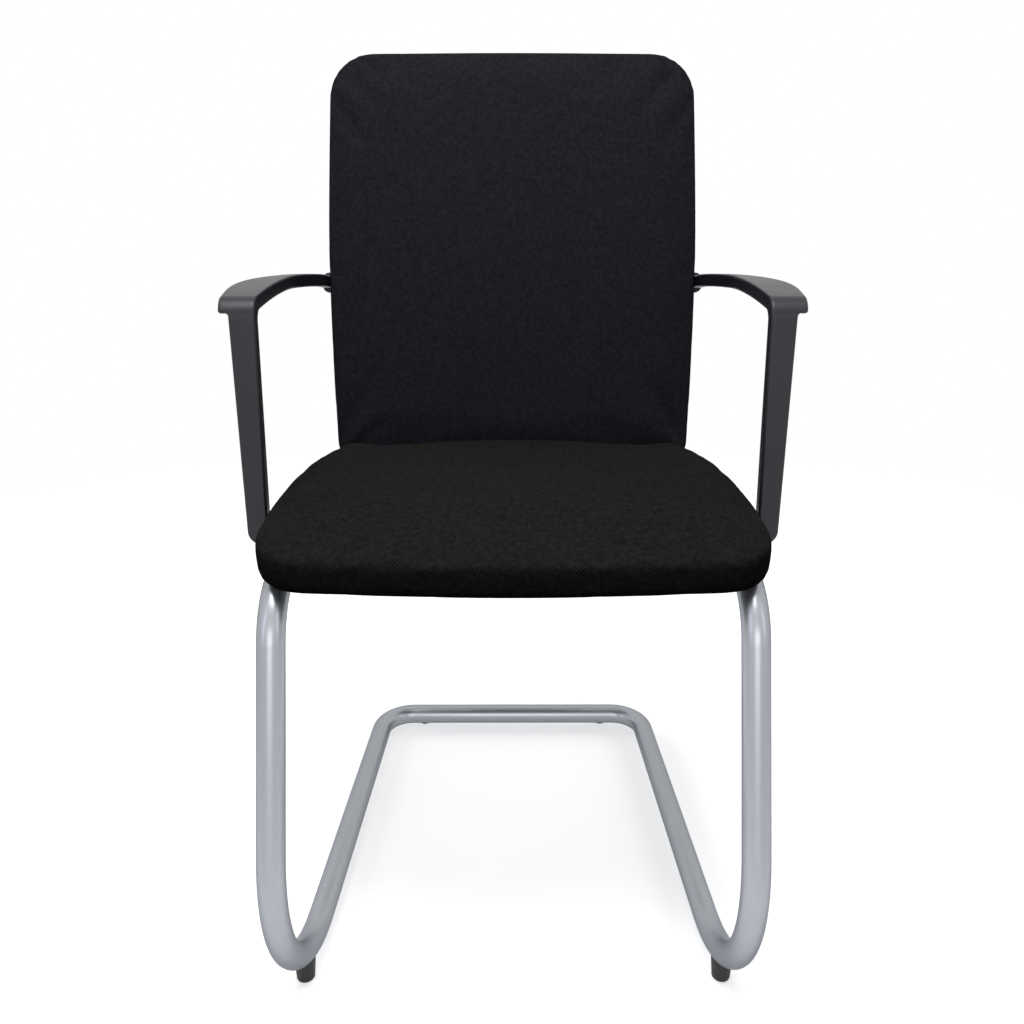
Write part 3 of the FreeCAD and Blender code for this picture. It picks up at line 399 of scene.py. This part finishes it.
@dataclass(frozen=True)
class PlatedMetal(Finish):
    """Bright fastener metal: a cloudy tint and a turned, slightly uneven gloss.

    Attributes:
        cloud_mm: Size of the clouds in tint and gloss.
        gloss_spread: How far the roughness drifts to each side.
    """

    cloud_mm: float = 3.0
    gloss_spread: float = 0.08

    def draw(self, tree: bpy.types.NodeTree, place: Socket) -> dict[str, Socket]:
        """Draw clouds and fine tool marks.

        Args:
            tree: The material's nodes.
            place: Places on the object, in metres.

        Returns:
            Shader input to the socket that feeds it.
        """
        clouds = add_node(tree, "TexNoise", {"Vector": place, "Scale": per_metre(self.cloud_mm), "Detail": 3.0})
        marks = add_node(tree, "TexNoise", {"Vector": place, "Scale": per_metre(self.grain_mm)})
        return {"Base Color": self.two_tone(tree, clouds.outputs["Fac"]),
                "Roughness": self.uneven_gloss(tree, clouds.outputs["Fac"], self.gloss_spread),
                "Normal": self.relief(tree, marks.outputs["Fac"])}


FINISHES: dict[Slot, Finish] = {
    # Soft, slightly cool grey with broad highlights; the flakes are drawn coarser than real ones to show.
    Slot.SILVER_PAINT: SatinPaint("satin_silver_paint_on_steel", "#a6a9ae", "#b7babf", 0.32, metallic=0.7,
                                  edge="#7c8085", grain_mm=2.5, relief_mm=0.02),
    # Dark and quiet, with a low sheen on the flat steel under the seat.
    Slot.BLACK_PAINT: SatinPaint("semi_matt_black_paint_on_steel", "#131314", "#191a1b", 0.5, grain_mm=1.5,
                                 relief_mm=0.04),
    # Plain dull black of the feet and the tube's end plugs.
    Slot.BLACK_GLIDE: MouldedPlastic("matt_black_polyamide", "#0d0d0e", "#141415", 0.62, grain_mm=0.9),
    # Dull black with a pebbled grain on the outer shells.
    Slot.BLACK_SHELL: MouldedPlastic("grained_black_polypropylene", "#121213", "#18181a", 0.56, grain_mm=1.3,
                                     relief_mm=0.08),
    # Warm pale wood of the hidden boards.
    Slot.PLYWOOD: BeechPlywood("moulded_beech_plywood", "#cfa878", "#a97f52", 0.6, specular=0.35, grain_mm=0.7),
    # Near-black cloth with a dry, mottled face; the threads are drawn about twice as wide as real ones to show. The
    # seat takes a copy of it that is painted darker as painted shade.
    Slot.BLACK_FABRIC: WovenFabric("woven_black_polyester", "#19171c", "#302d33", 0.95, specular=0.0,
                                   relief_mm=0.25),
    # Black with a soft blue-grey gloss on the posts and a broad highlight over the nose.
    Slot.ARM_PLASTIC: MouldedPlastic("satin_black_moulded_polypropylene", "#14161c", "#1a1c22", 0.4, specular=0.42,
                                     grain_mm=0.8, relief_mm=0.03),
    # Bright, slightly blue bolts and nuts.
    Slot.ZINC_STEEL: PlatedMetal("zinc_plated_steel", "#b4b8bc", "#c6c8c6", 0.34, metallic=1.0, grain_mm=0.4,
                                 relief_mm=0.01),
    # Yellow metal of the threaded inserts.
    Slot.BRASS: PlatedMetal("turned_brass", "#c8a45c", "#b58f48", 0.32, metallic=1.0, grain_mm=0.4, relief_mm=0.01),
}
# The same cloth, painted darker on the seat than on the back as painted shade, because the flat seat takes more light
# from above than the upright back; it is also a little warmer and rougher in relief.
SEAT_CLOTH_WITH_PAINTED_SHADE = WovenFabric("woven_black_polyester_with_painted_shade_for_the_seat", "#121010", "#2c2929", 0.95, specular=0.0,
                         relief_mm=0.35)


class Palette:
    """The finishes as materials, each made once, and the record's slot of every node."""

    def __init__(self) -> None:
        """Make every material and read the slots."""
        self.materials = {slot: finish.material() for slot, finish in FINISHES.items()}
        self.slots = {row["node"]: Slot(row["material_slot"]) for row in frame["record"]["subparts"]}

    def dress(self, node: str) -> None:
        """Give a node of the part the material of its slot.

        Args:
            node: The node's name.
        """
        shown = frame["nodes"][node]
        material = self.materials[self.slots[node]]
        if not shown.material_slots:
            shown.data.materials.append(material)
        for place in shown.material_slots:
            place.material = material
        LOG.info("%s: %s", node, material.name)

    def cover(self, piece: Piece, node: str, cloth: Finish | None) -> None:
        """Give a new piece the slot of the node that it stands for, and a material.

        Args:
            piece: The new piece.
            node: The node that it stands for.
            cloth: A cloth of its own, or None for the slot's material.
        """
        piece.data.materials.clear()
        piece.data.materials.append(cloth.material() if cloth else self.materials[self.slots[node]])


def surface(nodes: tuple[str, ...]) -> BVHTree:
    """Gather nodes of the part into one searchable surface.

    Args:
        nodes: Names of the nodes.

    Returns:
        Tree of all their faces.
    """
    points: list[Vector] = []
    faces: list[list[int]] = []
    for node in nodes:
        mesh = frame["nodes"][node].data
        faces += [[len(points) + i for i in face.vertices] for face in mesh.polygons]
        points += [v.co for v in mesh.vertices]
    return BVHTree.FromPolygons(points, faces)


@dataclass
class Cushion:
    """Foam in a sewn cover: the solid's form, remeshed, its face drawn in a little and blown up tight.

    Attributes:
        node: The soft solid that it stands for.
        piece: Its own name.
        carried_by: Nodes that it lies against, which hold the cover still.
        face: Direction that the filled face looks in.
        fill: How tight it is filled, from 0 to 1; not used.
        voxel: Size of the remesh, in metres.
        shrink: How far the face starts inside the solid.
        swell: The furthest that the filling moves the cover.
        held_within: The cover is held where it lies this close to what carries it.
        wall_turn: A wall that faces this far aside, as a cosine, is stretched over the board's edge and stays.
        face_turn: A surface that looks this straight along the face, as a cosine, is free.
        pressure: Pressure of the filling.
        frames: Length of the simulation.
        rise: How much higher than the solid the rear edge of the filled face stands, in metres.
        corner_rise: How much more its rear corners stand up.
        rise_from: Share of the solid's depth, from the front, where that begins.
        rise_up: Shares of the solid's height where the rise begins and is full.
        rise_aside: Distances from the middle, as shares of the width, where the corners begin and are full.
        stretch: Stiffness of the cover against stretching and crumpling.
        bend: Stiffness of the cover against bending.
        cloth: Its cover, where that differs from its slot's.
    """

    node: str
    piece: str
    carried_by: tuple[str, ...]
    face: tuple[float, float, float]
    fill: float = 0.85
    voxel: float = 0.006
    shrink: float = 0.0015
    swell: float = 0.004
    held_within: float = 0.003
    wall_turn: float = 0.35
    face_turn: float = 0.8
    pressure: float = 4.0
    frames: int = 20
    rise: float = 0.0
    corner_rise: float = 0.0
    rise_from: float = 0.5
    rise_up: tuple[float, float] = (0.1, 0.45)
    rise_aside: tuple[float, float] = (0.3, 0.45)
    stretch: float = 20.0
    bend: float = 2.0
    cloth: Finish | None = None

    def build(self, palette: Palette) -> Piece:
        """Make the cushion and hide its solid.

        Args:
            palette: The materials.

        Returns:
            The cushion.
        """
        pad = self.remeshed()
        held = self.held_points(pad)
        freedom = self.freedom(pad, held)
        self.move(pad, -self.shrink * freedom[:, None] * self.normals(pad))
        self.blow_up(pad, held, freedom)
        self.soften(pad, held)
        self.fill_rear(pad)
        pad.data.shade_smooth()
        rounding = pad.modifiers.new("rounding", "SUBSURF")
        rounding.levels = rounding.render_levels = 1
        palette.cover(pad, self.node, self.cloth)
        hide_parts(self.node)
        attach(pad, "root")
        LOG.info("%s: %d points, %d of them held", self.piece, len(pad.data.vertices), int(held.sum()))
        return pad

    def remeshed(self) -> Piece:
        """Copy the solid to an even mesh.

        Returns:
            A new object whose points lie on the solid.
        """
        solid = frame["nodes"][self.node]
        mesh = solid.data.copy()
        mesh.name = self.piece
        pad = bpy.data.objects.new(self.piece, mesh)
        bpy.context.scene.collection.objects.link(pad)
        welded = bmesh.new()
        welded.from_mesh(mesh)
        bmesh.ops.remove_doubles(welded, verts=welded.verts, dist=1e-6)
        welded.to_mesh(mesh)
        welded.free()
        bpy.context.view_layer.objects.active = pad
        pad.data.remesh_voxel_size = self.voxel
        bpy.ops.object.voxel_remesh()
        skin = surface((self.node,))
        for vertex in pad.data.vertices:
            vertex.co = skin.find_nearest(vertex.co)[0]
        return pad

    @staticmethod
    def places(pad: Piece) -> np.ndarray:
        """Places of a piece's points, one row each."""
        return np.array([v.co for v in pad.data.vertices])

    @staticmethod
    def normals(pad: Piece) -> np.ndarray:
        """Outward directions at a piece's points, one row each."""
        return np.array([v.normal for v in pad.data.vertices])

    def move(self, pad: Piece, steps: np.ndarray) -> None:
        """Move the points of a piece.

        Args:
            pad: The piece.
            steps: One step for each point, in metres.
        """
        pad.data.vertices.foreach_set("co", (self.places(pad) + steps).astype(np.float32).ravel())
        pad.data.update()

    def held_points(self, pad: Piece) -> np.ndarray:
        """Tell which points of the cover are held by what carries the cushion.

        Args:
            pad: The cushion.

        Returns:
            True for each held point.
        """
        carriers = surface(self.carried_by)
        return np.array([carriers.find_nearest(v.co, self.held_within)[0] is not None for v in pad.data.vertices])

    def freedom(self, pad: Piece, held: np.ndarray) -> np.ndarray:
        """Weigh how freely each point swells.

        Args:
            pad: The cushion.
            held: Which of its points stay where they are.

        Returns:
            From 0, on the walls and where the cover is held, to 1 on the face.
        """
        towards = self.normals(pad) @ np.array(self.face)
        return np.where(held, 0.0, self.ease(towards, self.wall_turn, self.face_turn))

    def blow_up(self, pad: Piece, held: np.ndarray, freedom: np.ndarray) -> None:
        """Fill the cover by a cloth simulation and keep its capped result.

        Args:
            pad: The cushion.
            held: Which of its points stay where they are.
            freedom: How freely each point swells, from 0 to 1.
        """
        group = pad.vertex_groups.new(name="held")
        group.add(np.flatnonzero(held | (freedom == 0.0)).tolist(), 1.0, "REPLACE")
        cloth = pad.modifiers.new("filling", "CLOTH")
        cloth.settings.effector_weights.gravity = 0.0
        cloth.settings.use_pressure = True
        cloth.settings.uniform_pressure_force = self.pressure
        cloth.settings.vertex_group_mass = group.name
        cloth.settings.tension_stiffness = cloth.settings.compression_stiffness = self.stretch
        cloth.settings.bending_stiffness = self.bend
        cloth.point_cache.frame_start = 1
        cloth.point_cache.frame_end = self.frames
        scene = bpy.context.scene
        for step in range(1, self.frames + 1):
            scene.frame_set(step)
        filled = pad.evaluated_get(bpy.context.evaluated_depsgraph_get()).to_mesh()
        steps = np.array([v.co for v in filled.vertices]) - self.places(pad)
        pad.modifiers.remove(cloth)
        scene.frame_set(1)
        length = np.linalg.norm(steps, axis=1, keepdims=True)
        steps *= np.minimum(1.0, self.swell / np.maximum(length, 1e-9)) * freedom[:, None]
        self.move(pad, steps)
        pad.vertex_groups.remove(group)
        LOG.info("%s: filled, swelled %.1f mm at most and %.1f mm on average", self.piece,
                 1000 * np.linalg.norm(steps, axis=1).max(), 1000 * np.linalg.norm(steps, axis=1).mean())

    def fill_rear(self, pad: Piece) -> None:
        """Raise the rear edge and corners of the upper half, as foam that is cut thicker there.

        Args:
            pad: The cushion.
        """
        low, high = (np.array(corner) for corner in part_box(self.node))
        part = (self.places(pad) - low) / (high - low)
        back = self.ease(part[:, 1], self.rise_from, 1.0)
        up = self.ease(part[:, 2], *self.rise_up)
        aside = self.ease(np.abs(part[:, 0] - 0.5), *self.rise_aside)
        steps = np.zeros_like(part)
        steps[:, 2] = back * up * (self.rise + self.corner_rise * aside)
        self.move(pad, steps)

    @staticmethod
    def ease(value: np.ndarray, start: float, end: float) -> np.ndarray:
        """Go smoothly from 0 to 1.

        Args:
            value: Where each point stands.
            start: Where the way begins.
            end: Where it is complete.

        Returns:
            The share of the way at each point.
        """
        share = np.clip((value - start) / (end - start), 0.0, 1.0)
        return share * share * (3.0 - 2.0 * share)

    def soften(self, pad: Piece, held: np.ndarray, rounds: int = 4, draw_in: float = 0.5,
               push_out: float = -0.52) -> None:
        """Even out the free cover without drawing in its outline.

        Args:
            pad: The cushion.
            held: Which of its points stay where they are.
            rounds: How many times each point moves towards its neighbours' middle and back out.
            draw_in: Share of the way to that middle.
            push_out: Share of the way back out, slightly more.
        """
        ends = np.array([e.vertices[:] for e in pad.data.edges])
        count = np.bincount(ends.ravel(), minlength=len(held))[:, None]
        points = self.places(pad)
        for share in (draw_in, push_out) * rounds:
            total = np.zeros_like(points)
            np.add.at(total, ends[:, 0], points[ends[:, 1]])
            np.add.at(total, ends[:, 1], points[ends[:, 0]])
            points = np.where(held[:, None], points, points + share * (total / count - points))
        self.move(pad, points - self.places(pad))


@dataclass
class SubAssembly:
    """Nodes that belong together.

    Attributes:
        name: What the group is.
        nodes: Its rigid nodes, which keep their shapes.
        cushion: Its upholstered pad, if it has one.
    """

    name: str
    nodes: tuple[str, ...]
    cushion: Cushion | None = None

    def build(self, palette: Palette) -> None:
        """Dress the rigid nodes and make the cushion.

        Args:
            palette: The materials.
        """
        LOG.info("%s", self.name)
        for node in self.nodes:
            palette.dress(node)
        if self.cushion:
            self.cushion.build(palette)


@dataclass
class Frame(SubAssembly):
    """The bent tube, its feet and plugs, and the strips across its rails."""

    name: str = "frame"
    nodes: tuple[str, ...] = ("frame_tube", "front_glide_left", "front_glide_right", "rear_glide_left",
                              "rear_glide_right", "rail_plug_left", "rail_plug_right", "front_cross_strip",
                              "rear_cross_strip")


@dataclass
class Seat(SubAssembly):
    """The seat's board, pan and fasteners under a filled cushion."""

    name: str = "seat"
    nodes: tuple[str, ...] = ("seat_pan", "seat_board", "seat_bolts", "seat_tee_nuts")
    # The seat's cover takes the copy of the cloth that is painted darker, as painted shade.
    cushion: Cushion | None = field(default_factory=lambda: Cushion(
        "seat_cushion", "seat_upholstery", ("seat_board", "seat_pan", "frame_tube", "arm_left", "arm_right",
                                            "rail_plug_left", "rail_plug_right", "back_upright"),
        face=(0.0, -0.07, 0.998), rise=0.008, corner_rise=0.007, rise_from=0.3, cloth=SEAT_CLOTH_WITH_PAINTED_SHADE))


@dataclass
class Back(SubAssembly):
    """The back's upright, board, shell and fasteners behind a filled cushion."""

    name: str = "back"
    nodes: tuple[str, ...] = ("back_upright", "upright_bolts", "upright_tee_nuts", "back_board", "back_shell",
                              "back_bolts", "back_tee_nuts")
    cushion: Cushion | None = field(default_factory=lambda: Cushion(
        "back_cushion", "back_upholstery", ("back_board", "back_shell", "back_upright", "arm_left", "arm_right"),
        face=(0.0, -0.97, 0.242)))


@dataclass
class Arms(SubAssembly):
    """The moulded arms with their bolts and inserts."""

    name: str = "arms"
    nodes: tuple[str, ...] = ("arm_left", "arm_right", "arm_foot_bolts", "arm_foot_inserts", "arm_end_bolts",
                              "arm_end_tee_nuts")


@dataclass(frozen=True)
class PhotoCamera:
    """The camera that the photograph was taken with.

    Attributes:
        place: Where it stands, in metres.
        pitch: Degrees from straight down to its line of sight.
        turn: Degrees to the left of straight ahead.
        lens: Focal length on the sensor, in millimetres.
        sensor: Width of the sensor, in millimetres.
        shift: How far the frame is moved up, as a share of its side.
    """

    place: tuple[float, float, float] = (-0.00317, -0.99952, 0.7513)
    pitch: float = 76.08
    turn: float = -0.13
    lens: float = 33.643
    sensor: float = 36.0
    shift: float = -0.0898

    def build(self) -> None:
        """Make the camera and use it for the scene."""
        data = bpy.data.cameras.new("photo_camera")
        data.lens, data.sensor_width, data.shift_y = self.lens, self.sensor, self.shift
        camera = bpy.data.objects.new("photo_camera", data)
        camera.location = self.place
        camera.rotation_euler = (math.radians(self.pitch), 0.0, math.radians(self.turn))
        bpy.context.scene.collection.objects.link(camera)
        bpy.context.scene.camera = camera


@dataclass(frozen=True)
class Softbox:
    """A large soft lamp.

    Attributes:
        name: Its name.
        place: Where it hangs, in metres.
        size: Width and height, in metres.
        power: Power in watts.
        colour: Colour of its light, sRGB.
        target: The point that it faces.
        use: What it gives a surface.
    """

    name: str
    place: tuple[float, float, float]
    size: tuple[float, float]
    power: float
    colour: str = "#ffffff"
    target: tuple[float, float, float] = (0.0, 0.0, 0.45)
    use: LampUse = LampUse.BOTH

    def build(self) -> None:
        """Hang the lamp."""
        data = bpy.data.lights.new(self.name, "AREA")
        data.shape = "RECTANGLE"
        data.size, data.size_y = self.size
        data.energy = self.power
        data.color = linear(self.colour)[:3]
        lamp = bpy.data.objects.new(self.name, data)
        lamp.location = self.place
        lamp.rotation_euler = (Vector(self.target) - Vector(self.place)).to_track_quat("-Z", "Y").to_euler()
        lamp.visible_camera = False
        lamp.visible_diffuse, lamp.visible_glossy = self.use.value
        bpy.context.scene.collection.objects.link(lamp)


@dataclass(frozen=True)
class Studio:
    """White surroundings: a floor that keeps the chair's shadow, an even sky and soft lamps.

    Attributes:
        floor_colour: Colour of the floor, sRGB.
        floor_bounce: Colour of the floor as it lights the chair from below, sRGB.
        floor_lift: Light that the floor adds for the eye alone, so that it reads as white.
        floor_radius: Where the floor ends, in metres.
        fade: Where the floor begins and ends to fade into the background.
        sky: Strength of the light from above on the chair; the eye and reflections see white all round.
        sky_range: Heights of the direction, as sines, where that light begins and is full.
        lamps: The lamps.
    """

    floor_colour: str = "#f4f4f4"
    floor_bounce: str = "#505050"
    floor_lift: float = 0.53
    floor_radius: float = 2.0
    fade: tuple[float, float] = (0.5, 1.8)
    sky: float = 0.25
    sky_range: tuple[float, float] = (-0.1, 0.4)
    lamps: tuple[Softbox, ...] = (
        Softbox("key_softbox", (-0.15, -0.55, 2.3), (1.2, 0.9), 32.0),
        Softbox("front_softbox", (0.0, -2.4, 0.8), (1.5, 1.0), 10.5, target=(0.0, 0.2, 0.1), use=LampUse.GLOSS),
        Softbox("left_softbox", (-1.7, -1.5, 1.3), (0.4, 1.6), 5.0, "#d5e4ff"),
        Softbox("right_softbox", (1.9, -1.3, 1.3), (0.4, 1.6), 4.0, "#e6eeff"),
        Softbox("left_fill", (-1.7, 1.3, 0.9), (1.2, 1.2), 20.0, use=LampUse.SHADING),
        Softbox("right_fill", (1.7, 1.3, 0.9), (1.2, 1.2), 20.0, use=LampUse.SHADING),
    )

    def build(self) -> None:
        """Make the floor, the sky and the lamps."""
        self.build_floor()
        self.build_sky()
        for lamp in self.lamps:
            lamp.build()

    def build_floor(self) -> None:
        """Lay a white disc that fades out before its edge."""
        disc = bmesh.new()
        bmesh.ops.create_circle(disc, cap_ends=True, segments=96, radius=self.floor_radius)
        mesh = bpy.data.meshes.new("floor")
        disc.to_mesh(mesh)
        disc.free()
        floor = bpy.data.objects.new("floor", mesh)
        bpy.context.scene.collection.objects.link(floor)
        material = bpy.data.materials.new("white_floor")
        material.use_nodes = True
        tree = material.node_tree
        tree.nodes.clear()
        seen = self.seen(tree)
        colour = add_node(tree, "Mix", {0: seen, 6: linear(self.floor_bounce), 7: linear(self.floor_colour)},
                          data_type="RGBA")
        paint = add_node(tree, "BsdfDiffuse", {"Color": colour.outputs[2]})
        lift = add_node(tree, "Math", {0: seen, 1: self.floor_lift}, operation="MULTIPLY")
        glow = add_node(tree, "Emission", {"Strength": lift.outputs[0]})
        lit = add_node(tree, "AddShader", {0: paint.outputs[0], 1: glow.outputs[0]})
        reach = add_node(tree, "VectorMath", {0: add_node(tree, "TexCoord").outputs["Object"]}, operation="LENGTH")
        fade = add_node(tree, "MapRange", {"Value": reach.outputs["Value"], "From Min": self.fade[0],
                                           "From Max": self.fade[1]}, interpolation_type="SMOOTHSTEP")
        clear = add_node(tree, "BsdfTransparent")
        mixed = add_node(tree, "MixShader", {0: fade.outputs["Result"], 1: lit.outputs[0], 2: clear.outputs[0]})
        add_node(tree, "OutputMaterial", {"Surface": mixed.outputs[0]})
        mesh.materials.append(material)

    @staticmethod
    def seen(tree: bpy.types.NodeTree) -> Socket:
        """Tell the eye's rays from those that light the chair.

        Args:
            tree: The nodes of the floor or the sky.

        Returns:
            1 for the eye, reflections and glass, and 0 for light that falls on the chair.
        """
        rays = add_node(tree, "LightPath").outputs
        either = add_node(tree, "Math", {0: rays["Is Camera Ray"], 1: rays["Is Glossy Ray"]}, operation="MAXIMUM")
        return add_node(tree, "Math", {0: either.outputs[0], 1: rays["Is Transmission Ray"]},
                        operation="MAXIMUM").outputs[0]

    def build_sky(self) -> None:
        """Make a sky that is white to the eye and in reflections, and gives soft light from above."""
        world = bpy.data.worlds.new("white_studio")
        bpy.context.scene.world = world
        world.use_nodes = True
        tree = world.node_tree
        tree.nodes.clear()
        way = add_node(tree, "SeparateXYZ", {0: add_node(tree, "TexCoord").outputs["Generated"]}).outputs
        above = add_node(tree, "MapRange", {"Value": way["Z"], "From Min": self.sky_range[0],
                                            "From Max": self.sky_range[1], "To Max": self.sky})
        strength = add_node(tree, "MapRange", {"Value": self.seen(tree), "To Min": above.outputs["Result"]})
        sky = add_node(tree, "Background", {"Color": linear("#ffffff"), "Strength": strength.outputs["Result"]})
        add_node(tree, "OutputWorld", {"Surface": sky.outputs[0]})


def main() -> None:
    """Build the chair's looks, the studio and the camera."""
    logging.basicConfig(level=logging.INFO, format="%(name)s: %(message)s")
    bpy.context.scene.view_settings.view_transform = "Standard"
    palette = Palette()
    for group in (Frame(), Seat(), Back(), Arms()):
        group.build(palette)
    Studio().build()
    PhotoCamera().build()


if __name__ == "__main__":
    main()
